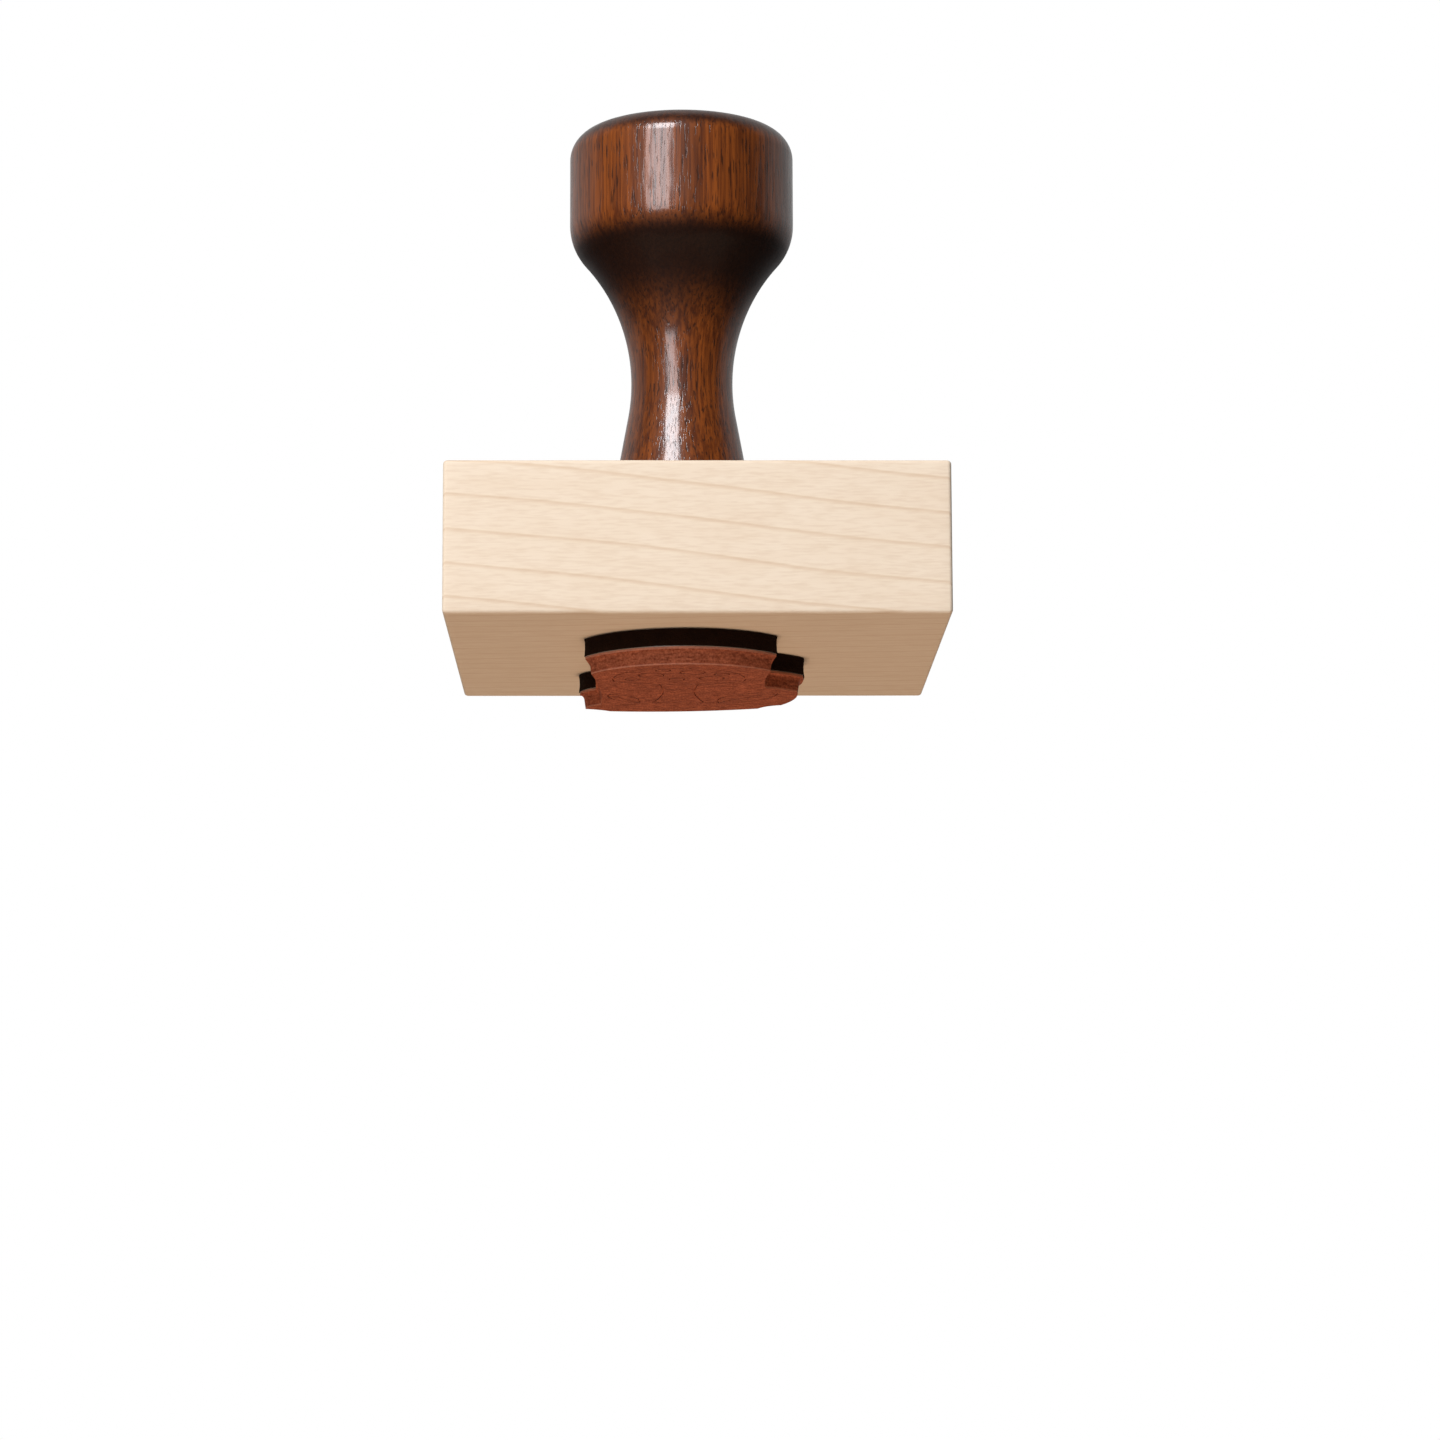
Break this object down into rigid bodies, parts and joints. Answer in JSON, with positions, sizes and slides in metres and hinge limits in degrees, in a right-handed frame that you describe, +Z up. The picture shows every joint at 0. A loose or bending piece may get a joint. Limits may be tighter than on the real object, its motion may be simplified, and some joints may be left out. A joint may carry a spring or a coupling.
{
  "type": "rubber stamp",
  "caption": "Wood-handled craft stamp: turned knob handle on a square maple block, with a foam-cushioned rubber die finely engraved with a toadstool.",
  "frame": {"origin": "under the middle of the square block, in the plane of the printing face, which the stamp stands on", "axes": "+Z up through the block and along the handle, +Y from the front of the block to its back, +X to the right seen from the front"},
  "size_m": [0.0636, 0.0636, 0.0771],
  "materials": {
    "stained_wood": "dark walnut stain under gloss lacquer",
    "maple": "sanded, unfinished",
    "stamp_rubber": "matte vulcanised gum rubber",
    "cushion_foam": "matte closed-cell foam",
    "adhesive_film": "translucent double-sided film",
    "screw_steel": "bright zinc plate"
  },
  "bodies": {
    "stamp_body": {"handle": "stained_wood", "handle_screw": "screw_steel", "mount_block": "maple", "block_film": "adhesive_film", "foam_cushion": "cushion_foam"},
    "die": {"die_film": "adhesive_film", "rubber_die": "stamp_rubber"}
  },
  "joints": [
    {"name": "die_press", "type": "slide", "parent": "stamp_body", "child": "die", "axis": [0, 0, 1], "range_m": [0, 0.0006], "stiffness_N_per_m": 25000, "deforming": ["foam_cushion"]}
  ]
}
